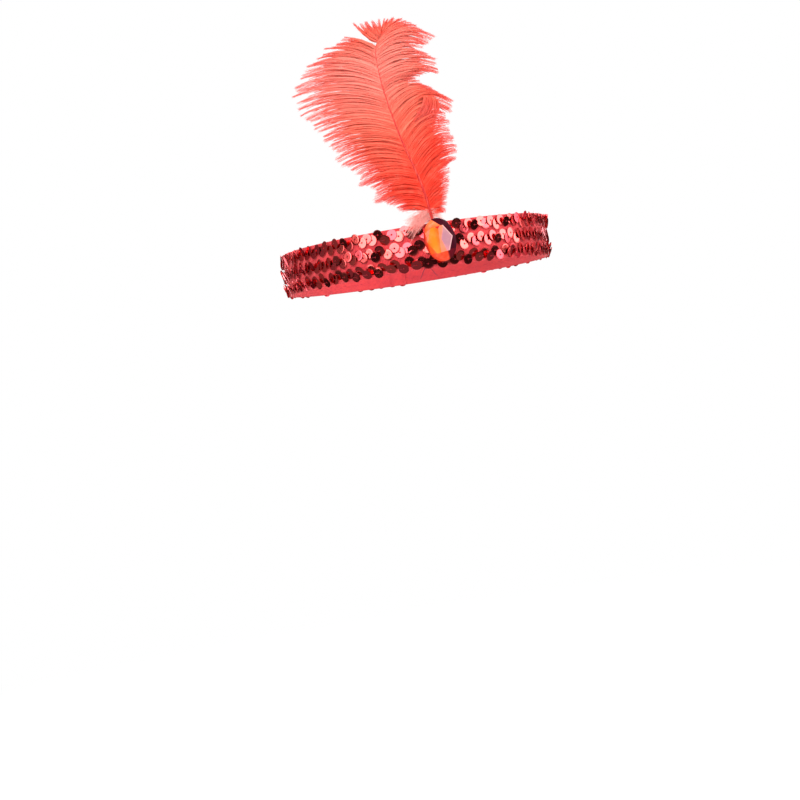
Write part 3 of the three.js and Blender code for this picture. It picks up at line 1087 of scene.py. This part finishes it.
def guide_mesh(name, guides):
    """Lines as one mesh, with the share along each, its heading, its girth and its tone."""
    points, edges = [], []
    values = {"share": [], "girth": [], "tone": [], "heading": []}
    for guide in guides:
        last = len(guide.points) - 1
        for i, point in enumerate(guide.points):
            if i:
                edges.append((len(points) - 1, len(points)))
            points.append(point)
            values["share"].append(i / last)
            values["girth"].append(guide.girths[i])
            values["tone"].append(guide.tone)
            ahead = guide.points[min(i + 1, last)] - guide.points[max(i - 1, 0)]
            values["heading"].extend(ahead.normalized())
    mesh = new_mesh(name, points, edges=edges)
    for title in ("share", "girth", "tone"):
        mesh.attributes.new(title, "FLOAT", "POINT").data.foreach_set("value", values[title])
    heading = mesh.attributes.new("heading", "FLOAT_VECTOR", "POINT")
    heading.data.foreach_set("vector", values["heading"])
    return mesh


def strands(name, guides, material, flat):
    """A thin four-sided strand along each guide, wider in the plume's plane than it is thick."""
    recipe = Recipe(name)
    add = recipe.nodes.add
    profile = add("GeometryNodeCurvePrimitiveCircle", {"mode": "RADIUS"}, {
        "Resolution": recipe.input("Sides", "Int", 4), "Radius": 0.5})
    thin = recipe.nodes.join(recipe.number("Flatness", flat), 1.0, 1.0)
    profile = add("GeometryNodeTransform", (), {"Geometry": profile, "Scale": thin})
    body = add("GeometryNodeCurveToMesh", (), {
        "Curve": recipe.curve, "Profile Curve": profile, "Scale": recipe.attribute("girth"),
        "Fill Caps": True})
    return smooth(recipe.make(name, guide_mesh(name, guides), body, material))


def hair_shape():
    """The finest hair: a three-sided spike of unit width and length along +Z."""
    points = [Vector((0.5 * math.cos(t), 0.5 * math.sin(t), 0)) for t in whole_turn(3)]
    points.append(Vector((0, 0, 1)))
    mesh = new_mesh("hair_shape", points, [(2, 1, 0), (0, 1, 3), (1, 2, 3), (2, 0, 3)])
    return new_object("hair_shape", mesh)


def fluff(name, guides, material, *, spacing, length, width, splay, spin, thin, seed):
    """Fine hairs all round each guide, splayed from its heading and shorter towards its end."""
    recipe = Recipe(name)
    add = recipe.nodes.add
    points = add("GeometryNodeCurveToPoints", {"mode": "LENGTH"},
                 {"Curve": recipe.curve, "Length": recipe.number("Spacing", spacing)})
    share = recipe.attribute("share")
    heading = recipe.attribute("heading", "FLOAT_VECTOR")
    along = add("FunctionNodeAlignRotationToVector", {"axis": "Z"}, {"Vector": heading})
    tip = recipe.chance(0.5, 1.3, seed) * recipe.number("Splay", splay)
    across_plume = recipe.nodes.math("SIGN", recipe.chance(-1.0, 1.0, seed + 3)) * (math.pi / 2)
    spin = across_plume + recipe.chance(-1.0, 1.0, seed + 1) * recipe.number("Spin", spin)
    rotation = recipe.turned(along, recipe.nodes.join(tip, 0.0, spin))
    shorter = 1 - recipe.number("Thinning", thin) * share
    reach = recipe.number("Length", length) * recipe.chance(0.55, 1.25, seed + 2) * shorter
    across = recipe.number("Width", width)
    hair = hair_shape()
    copies = add("GeometryNodeInstanceOnPoints", (), {
        "Points": points, "Instance": recipe.shape("Hair", hair), "Rotation": rotation,
        "Scale": recipe.nodes.join(across, across, reach)})
    piece = recipe.make(name, guide_mesh(name, guides), copies, material)
    bpy.data.objects.remove(hair)
    return piece


def barb_line(rows, side, root, steps, length=1.0, droop=0.0):
    """One barb from the shaft to its end, without its own unevenness.

    Length is a share of its whole reach, and droop how far its end sinks, in shares of it."""
    row = row_at(rows, root)
    start = shaft_at(root) + Vector((side * shaft_radius(root) * 0.5, 0, 0))
    end = start.lerp(plume_point(row.up, row.aside), length)
    reach = (end - start).length
    line = []
    for i in range(steps + 1):
        s = i / steps
        point = start.lerp(end, s)
        point.z += reach * (row.arch * 4 * s * (1 - s) - droop * s ** 3)
        point.y = start.y + VANE_CUP * reach * s * s
        line.append(point)
    return line


def barb_roots(rows, side, pitch):
    """Roots that set barbs one pitch apart on average, and their ends at most a third more."""
    fine = 400
    first, last = rows[0].root, rows[-1].root
    roots, gone, previous = [], 0.0, None
    for i in range(fine + 1):
        root = blend(first, last, i / fine)
        line = barb_line(rows, side, root, 2)
        if previous:
            moves = [(a - b).length for a, b in zip(line, previous[1])]
            moved = max(sum(moves) / len(moves), 0.75 * moves[-1])
            while gone + moved > pitch:
                share = (pitch - gone) / moved
                roots.append(blend(previous[0], root, share))
                previous = (roots[-1], previous[1])
                moved -= pitch - gone
                gone = 0.0
            gone += moved
        previous = (root, line)
    return roots


def in_locks(roots, chance):
    """Groups of neighbouring roots whose barbs are drawn together."""
    index = 0
    while index < len(roots):
        size = chance.choice(LOCK_SIZES)
        yield roots[index:index + size]
        index += size


def half_thickness(share):
    """Half the plume's thickness at a share of a barb's length: fullest near its middle."""
    fullest, at_root = 0.42, 0.15
    return VANE_THICK * fullest * math.sin(math.pi * min(share * 1.2, 1) * 0.8 + at_root)


def barb_girth(width, share, thin_from, thin_end):
    """Width at a share of a barb's length: narrow at its root and thin again towards its end."""
    root_girth, full_from = 0.55, 0.15
    return (width * blend(root_girth, 1.0, ease(0, full_from, share))
            * blend(1.0, thin_end, ease(thin_from, 1, share)))


def layer_guides(layer, rows, side, fullness, chance):
    """The barbs of one layer on one side of the plume, looser towards its top."""
    guides = []
    for members in in_locks(barb_roots(rows, side, layer.pitch / fullness), chance):
        stretch, droop = chance.uniform(0.94, 1.02), chance.uniform(-0.02, 0.05)
        middle = members[len(members) // 2]
        loose = ease(0.15, 0.5, middle) if side < 0 else ease(0.45, 0.65, middle)
        pull = layer.pull * chance.uniform(0.6, 1.05) * blend(0.45, 1, loose)
        lock_line = barb_line(rows, side, middle, BARB_STEPS, stretch, droop)
        for root in members:
            length = stretch * min(chance.uniform(*layer.lengths) * blend(1.09, 1, loose), 1.02)
            own_droop = droop + chance.uniform(-0.02, 0.03)
            own = barb_line(rows, side, root, BARB_STEPS, length, own_droop)
            width = chance.uniform(*layer.girths)
            depth = chance.uniform(-1, 1) * layer.depth
            phase, waves = chance.uniform(0, SWAY_TURN), chance.uniform(1.0, 2.4)
            sway = chance.uniform(0.05, 0.3) * MM
            points, girths = [], []
            for i, point in enumerate(own):
                s = i / BARB_STEPS
                point = point.lerp(lock_line[i], pull * ease(0.5, 1.02, s))
                point.y += depth * half_thickness(s)
                point.z += sway * math.sin(phase + waves * SWAY_TURN * s) * ease(0, 0.5, s)
                points.append(point)
                girths.append(barb_girth(width, s, 0.35, 0.16))
            guides.append(Guide(points, girths, chance.random()))
    return guides


def fold_guides(chance):
    """Barbs on the right whose ends have folded back over the plume's front."""
    fall_back = VANE_CUP * 12 * MM
    guides = []
    for index in range(FOLD_BARBS):
        wide = (index + chance.uniform(-2, 2)) / FOLD_BARBS
        corners = [shaft_at(blend(*FOLD_ROOTS, wide))]
        for row in FOLD_ROWS:
            up = blend(row.first_up, row.last_up, wide)
            corners.append(plume_point(up, blend(row.first_aside, row.last_aside, wide)))
        corners[-1] += Vector((chance.uniform(-1, 1), 0, chance.uniform(-1, 1))) * 0.8 * MM
        forward = VANE_THICK * chance.uniform(0.25, 0.42)
        width = chance.uniform(0.4, 0.9) * MM
        points, girths = [], []
        for i in range(BARB_STEPS + 1):
            s = i / BARB_STEPS
            point = Vector()
            for power, corner in enumerate(corners):
                point += corner * math.comb(3, power) * s ** power * (1 - s) ** (3 - power)
            point.y = corners[0].y + fall_back * s - forward * ease(0.05, 0.6, s)
            points.append(point)
            girths.append(barb_girth(width, s, 0.6, 0.35))
        guides.append(Guide(points, girths, chance.uniform(0, 0.6)))
    return guides


def make_barbs(settings):
    """Both sides of the plume: its barbs as strands, and the finest hairs on the thin ones."""
    chance = random.Random(settings.seed)
    strand = barb_material("barb_strand", settings, 0.32, 0.2)
    soft = barb_material("barb_hair", settings, 0.42, 0.3)
    for title, groups, side in (("left", (LEFT_ROWS, LEFT_TUFT_ROWS), -1),
                                ("right", (RIGHT_ROWS,), 1)):
        broad, thin = ([guide for rows in groups
                        for guide in layer_guides(layer, rows, side, settings.fullness, chance)]
                       for layer in LAYERS)
        if side > 0:
            thin += fold_guides(chance)
        barbs = strands("barbs_" + title, broad + thin, strand, 0.3)
        seat(barbs, "barbs", "vane_" + title)
        hairs = fluff("barbules_" + title, thin, soft, spacing=settings.spacing,
                      length=settings.fluff, width=settings.hair, splay=math.radians(34),
                      spin=math.radians(55), thin=0.45, seed=settings.seed + 10 * side + 20)
        seat(hairs, "barbs")


def down_material(settings):
    material, nodes = new_material("pale_down")
    tone = nodes.own("tone")
    colour = nodes.mix(nodes.step(tone, 0.4, 0.0) * 0.5, settings.down, tint(250, 140, 128))
    solid = nodes.principled({"Base Color": colour, "Roughness": 0.8, "Sheen Weight": 0.3})
    nodes.surface(nodes.thin(0.6, solid, tint(255, 220, 214)))
    return material


def down_guide(length, chance):
    """One curl of down, most of which lie on the left and are up to a length long."""
    left_share, left, right = 0.78, -1, 0.45
    start = shaft_at(chance.uniform(-0.015, 0.04))
    side = left if chance.random() < left_share else right
    reach = chance.uniform(0.35, 1.05) * length * abs(side)
    rise = chance.uniform(-0.2, 0.35)
    fall = chance.uniform(0.2, 0.8)
    depth = chance.uniform(-1.0, 1.6) * MM
    curl, phase = chance.uniform(0.2, 0.9) * MM, chance.uniform(0, SWAY_TURN)
    steps = 10
    points = []
    for i in range(steps + 1):
        s = i / steps
        points.append(start + Vector((
            math.copysign(reach * s, side), -depth * ease(0, 0.4, s) - 0.4 * MM * s,
            reach * (rise * s - fall * s * s) + curl * math.sin(phase + 7 * s) * s)))
    girths = [blend(0.3, 0.05, i / steps) * MM for i in range(steps + 1)]
    return Guide(points, girths, chance.random())


def make_down(settings):
    """Pale fluff at the plume's foot, which curls down over the band's upper edge."""
    curls = 190
    seed = settings.seed + 50
    chance = random.Random(seed)
    low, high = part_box("down_tuft")
    guides = [down_guide(high.x - low.x, chance) for _ in range(curls)]
    material = down_material(settings)
    seat(strands("down_wisps", guides, material, 0.4), "down", "down_tuft")
    hairs = fluff("down_hairs", guides, material, spacing=0.16 * MM, length=1.7 * MM,
                  width=0.055 * MM, splay=math.radians(44), spin=math.radians(90), thin=0.3,
                  seed=seed)
    seat(hairs, "down")


# Thread ends and seams


def make_thread_ends():
    """The two loose thread ends that hang from the band's lower edge beside the stone.

    Places across and sways are in millimetres."""
    steps = 8
    shares = [i / steps for i in range(steps + 1)]
    top, hang, out = -HALF_HEIGHT + 0.6 * MM, 5.2 * MM, 1.3 * MM
    ends = []
    for x, tip, sway in ((-9.8, -13.4, 0.5), (-7.6, -3.9, -0.7)):
        path = []
        for s in shares:
            angle = math.asin(blend(x, tip, s) * MM / HALF_WIDTH)
            z = top - hang * s + 0.3 * MM * math.sin(5 * s)
            path.append(band_point(angle, z, out + sway * MM * math.sin(3 * s)))
        ends.append(tube("thread_end", path, [blend(0.28, 0.16, s) * MM for s in shares], 6))
    mesh = join_meshes("thread_ends", ends)
    mesh.materials.append(thread_material("thread_end", tint(96, 10, 32)))
    seat(smooth(new_object("thread_ends", mesh)), "stretch_cloth")


def inner_face(settings):
    """How far out the band's inner face lies, at an angle from 0 to a whole turn."""
    half = lap_half_angle(settings)

    def away(angle):
        station = angle - 2 * math.pi if angle > math.pi - half else angle
        return cloth_shift(station, settings)

    return away


def make_seams(settings, material):
    """A line of stitches on the inner face under each row: bars whose ends stand off a little."""
    stitches, radius, sunk = 170, 0.13 * MM, 0.04 * MM
    bends = ((-1.1, -0.12), (-0.8, 0), (0.8, 0), (1.1, -0.12))
    path = [Vector((x * MM, 0, z * MM)) for x, z in bends]
    bar = new_object("seam_stitch", tube("seam_stitch", path, [radius] * len(path), 5))
    face = inner_face(settings)
    for row in ROWS:
        low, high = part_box("sequin_row_" + row)
        loop = band_loop("seam", lambda angle: face(angle) - sunk, (low.z + high.z) / 2)
        seam = on_band("seam_" + row, bar, loop, material, stitches, zigzag=0.5 * MM,
                       drift=0.15 * MM, seed=31)
        seat(smooth(seam), "stretch_cloth")
    bpy.data.objects.remove(bar)


def make_lap_stitches(settings, material):
    """Two zigzags of thread that hold the ends of the band together."""
    half = lap_half_angle(settings)
    turns = 22
    radius = 0.12 * MM
    swing = MM / HALF_WIDTH
    zigzags = []
    for centre in (math.pi - half * 0.75, math.pi + half * 0.75):
        path = []
        for i in range(turns + 1):
            z = blend(-HALF_HEIGHT + MM, HALF_HEIGHT - MM, i / turns)
            path.append(band_point(centre + (i % 2 * 2 - 1) * swing, z, -CLOTH - radius))
        zigzags.append(tube("lap", path, [radius] * len(path), 5))
    mesh = join_meshes("lap_stitches", zigzags)
    mesh.materials.append(material)
    seat(smooth(new_object("lap_stitches", mesh)), "stretch_cloth")


# Stage

# The photograph's frame and focal length in pixels, and where the object's origin falls in it.
# Distances are in metres, the sensor's width in millimetres.
PHOTO_SIDE = 800
PHOTO_FOCAL = 1665
ORIGIN_PIXEL = (415, 257)
SENSOR = 36
CAMERA_DISTANCE = 1.05
CAMERA_AZIMUTH = math.radians(-8.8)
CAMERA_ELEVATION = math.radians(-3)
CAMERA_ROLL = math.radians(8.8)


def make_camera():
    """Camera at the photograph's angle, turned so that the origin falls on its own pixel."""
    flat = math.cos(CAMERA_ELEVATION)
    back = Vector((math.sin(CAMERA_AZIMUTH) * flat, -math.cos(CAMERA_AZIMUTH) * flat,
                   math.sin(CAMERA_ELEVATION)))
    level = (-back).cross(Vector((0, 0, 1))).normalized()
    upright = level.cross(-back)
    right = math.cos(CAMERA_ROLL) * level - math.sin(CAMERA_ROLL) * upright
    up = math.sin(CAMERA_ROLL) * level + math.cos(CAMERA_ROLL) * upright
    middle = PHOTO_SIDE / 2
    ray = Vector(((ORIGIN_PIXEL[0] - middle) / PHOTO_FOCAL,
                  (middle - ORIGIN_PIXEL[1]) / PHOTO_FOCAL, -1)).normalized()
    tilt, pan = math.asin(ray.y), math.atan2(ray.x, -ray.z)
    top = math.cos(tilt) * up - math.sin(tilt) * back
    behind = math.cos(tilt) * back + math.sin(tilt) * up
    side = math.cos(pan) * right - math.sin(pan) * behind
    behind = math.cos(pan) * behind + math.sin(pan) * right
    data = bpy.data.cameras.new("camera")
    data.sensor_width = SENSOR
    data.lens = PHOTO_FOCAL / PHOTO_SIDE * SENSOR
    camera = new_object("camera", data)
    turn = Matrix((side, top, behind)).transposed().to_4x4()
    camera.matrix_world = Matrix.Translation(back * CAMERA_DISTANCE) @ turn
    bpy.context.scene.camera = camera


# Soft panels round the object, in degrees: azimuth from the front, half width, lowest and
# highest elevation, and then the brightness as a share of the brightest.
Panel = namedtuple("Panel", "azimuth half low high level")
PANELS = (
    Panel(-58, 28, -4, 55, 1.0),
    Panel(78, 31, -4, 55, 1.0),
    Panel(134, 24, -12, 45, 0.13),
    Panel(-122, 32, -12, 45, 0.04),
    Panel(176, 24, -8, 45, 0.7),
    Panel(0, 60, 48, 80, 0.7),
    Panel(-20, 12, 10, 24, 0.15),
)


def panel_light(nodes, direction):
    """Brightness of the panels in a direction, with edges that are soft over some degrees."""
    x, y, z = nodes.split(direction)
    flat = nodes.math("SQRT", x * x + y * y + 1e-6)
    total = None
    soft = 5
    for panel in PANELS:
        turn = math.radians(panel.azimuth)
        near = (x * math.sin(turn) - y * math.cos(turn)) / flat
        edges = [math.cos(math.radians(panel.half + s)) for s in (soft, -soft)]
        mask = nodes.step(near, *edges)
        rise = [math.sin(math.radians(panel.low + s)) for s in (-soft, soft)]
        fall = [math.sin(math.radians(panel.high + s)) for s in (soft, -soft)]
        mask = mask * nodes.step(z, *rise) * nodes.step(z, *fall) * panel.level
        total = mask if total is None else total + mask
    return total


def make_world(settings):
    """White to the camera, panels and dark gaps in reflections, and an even soft light."""
    world = bpy.data.worlds.new("studio")
    world.use_nodes = True
    bpy.context.scene.world = world
    nodes = Nodes(world.node_tree)
    direction = nodes.add("ShaderNodeTexCoord", output="Generated")
    panels = panel_light(nodes, direction) * settings.panel
    _, _, height = nodes.split(direction)
    floor_glow = 0.2 * nodes.step(height, -0.42, -0.6)
    panels = panels + floor_glow
    seen = nodes.add("ShaderNodeLightPath", output="Is Camera Ray")
    mirrored = seen.output("Is Glossy Ray")
    soft = 0.55 + panels * 0.1
    reflected = 0.035 + panels
    light = soft + mirrored * (reflected - soft)
    light = light + seen * (1.0 - light)
    shader = nodes.add("ShaderNodeBackground", (), {"Color": light, "Strength": 1.0})
    nodes.add("ShaderNodeOutputWorld", (), {"Surface": shader})


def floor_material(settings):
    """Pale near the object, fading into the white background."""
    material, nodes = new_material("pale_floor")
    x, y, _ = nodes.split(nodes.place())
    away = nodes.math("SQRT", x * x + y * y)
    paper = nodes.add("ShaderNodeBsdfDiffuse", (), {"Color": full(settings.floor)})
    glow = nodes.add("ShaderNodeEmission", (), {"Color": (1.0, 1.0, 1.0, 1.0), "Strength": 1.0})
    nodes.surface(nodes.mixed(0.35 + 0.65 * nodes.step(away, 0.25, 1.3), paper, glow))
    return material


def make_floor(settings):
    radius, sides = 6.0, 64
    points = [Vector((radius * math.cos(t), radius * math.sin(t), -settings.drop))
              for t in whole_turn(sides)]
    mesh = new_mesh("floor", points, [tuple(range(len(points)))])
    mesh.materials.append(floor_material(settings))
    floor = new_object("floor", mesh)
    floor.visible_glossy = False
    floor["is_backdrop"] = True


# Round lamps that face the object: place and size in metres, power as a share of the key's
Lamp = namedtuple("Lamp", "name place size power")
LAMPS = (
    Lamp("key_light", (-0.6, -1.7, 0.9), 1.2, 1.0),
    Lamp("fill_light", (1.2, -1.3, 0.5), 1.2, 0.45),
    Lamp("back_light", (0.4, 1.6, 1.0), 1.4, 0.75),
)


def make_lights(settings):
    for lamp in LAMPS:
        data = bpy.data.lights.new(lamp.name, "AREA")
        data.shape = "DISK"
        data.size = lamp.size
        data.energy = settings.key * lamp.power
        light = new_object(lamp.name, data)
        light.location = lamp.place
        light.rotation_euler = (-Vector(lamp.place)).to_track_quat("-Z", "Y").to_euler()
        light.visible_glossy = False
        light.visible_camera = False


def make_stage(settings):
    make_camera()
    make_world(settings)
    make_floor(settings)
    make_lights(settings)
    bpy.context.scene.view_settings.view_transform = "Standard"


# Operators


class HEADBAND_OT_stage(bpy.types.Operator):
    """Set up the camera, the studio light and the floor"""
    bl_idname = "headband.stage"
    bl_label = "Stage"

    def execute(self, context):
        make_stage(context.scene.headband.stage)
        return {"FINISHED"}


class HEADBAND_OT_cloth(bpy.types.Operator):
    """Make the stretch cloth band with its sewn lap"""
    bl_idname = "headband.cloth"
    bl_label = "Cloth band"

    def execute(self, context):
        make_cloth(context.scene.headband.band)
        return {"FINISHED"}


class HEADBAND_OT_sequins(bpy.types.Operator):
    """Sew the three rows of sequins round the band"""
    bl_idname = "headband.sequins"
    bl_label = "Sequins"

    def execute(self, context):
        make_sequins(context.scene.headband.sequins)
        return {"FINISHED"}


class HEADBAND_OT_threads(bpy.types.Operator):
    """Add the loose thread ends and the sewing inside the band"""
    bl_idname = "headband.threads"
    bl_label = "Threads"

    def execute(self, context):
        settings = context.scene.headband.band
        material = thread_material("sewing_thread", settings.thread)
        make_thread_ends()
        make_seams(settings, material)
        make_lap_stitches(settings, material)
        return {"FINISHED"}


class HEADBAND_OT_stone(bpy.types.Operator):
    """Make the faceted stone and the glue behind it"""
    bl_idname = "headband.stone"
    bl_label = "Stone and glue"

    def execute(self, context):
        make_stone(context.scene.headband.stone)
        make_glue()
        return {"FINISHED"}


class HEADBAND_OT_plume(bpy.types.Operator):
    """Make the plume's shaft and the barbs on both its sides"""
    bl_idname = "headband.plume"
    bl_label = "Plume"

    def execute(self, context):
        settings = context.scene.headband.plume
        make_shaft(settings)
        make_barbs(settings)
        return {"FINISHED"}


class HEADBAND_OT_down(bpy.types.Operator):
    """Make the pale down at the plume's foot"""
    bl_idname = "headband.down"
    bl_label = "Down"

    def execute(self, context):
        make_down(context.scene.headband.plume)
        return {"FINISHED"}


OPERATORS = (
    HEADBAND_OT_stage,
    HEADBAND_OT_cloth,
    HEADBAND_OT_sequins,
    HEADBAND_OT_threads,
    HEADBAND_OT_stone,
    HEADBAND_OT_plume,
    HEADBAND_OT_down,
)


class VIEW3D_PT_headband(bpy.types.Panel):
    """Lists the headband's pieces"""
    bl_idname = "VIEW3D_PT_headband"
    bl_label = "Feather Headband"
    bl_space_type = "VIEW_3D"
    bl_region_type = "UI"
    bl_category = "Headband"

    def draw(self, context):
        for operator in OPERATORS:
            self.layout.operator(operator.bl_idname)


CLASSES = (
    HeadbandBand,
    HeadbandSequins,
    HeadbandStone,
    HeadbandPlume,
    HeadbandStage,
    HeadbandSettings,
    *OPERATORS,
    VIEW3D_PT_headband,
)


def register():
    for item in CLASSES:
        bpy.utils.register_class(item)
    bpy.types.Scene.headband = PointerProperty(type=HeadbandSettings)


def unregister():
    del bpy.types.Scene.headband
    for item in reversed(CLASSES):
        bpy.utils.unregister_class(item)


def write_size():
    """The CAD model's box and the visual model's, as plain numbers."""
    boxes = {"cad": CAD_BOX, "visual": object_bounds()}
    plain = {name: [list(corner) for corner in box] for name, box in boxes.items()}


def main():
    register()
    bpy.ops.headband.stage()
    bpy.ops.headband.cloth()
    bpy.ops.headband.sequins()
    bpy.ops.headband.threads()
    bpy.ops.headband.stone()
    bpy.ops.headband.plume()
    bpy.ops.headband.down()
    write_size()


if __name__ == "__main__":
    main()
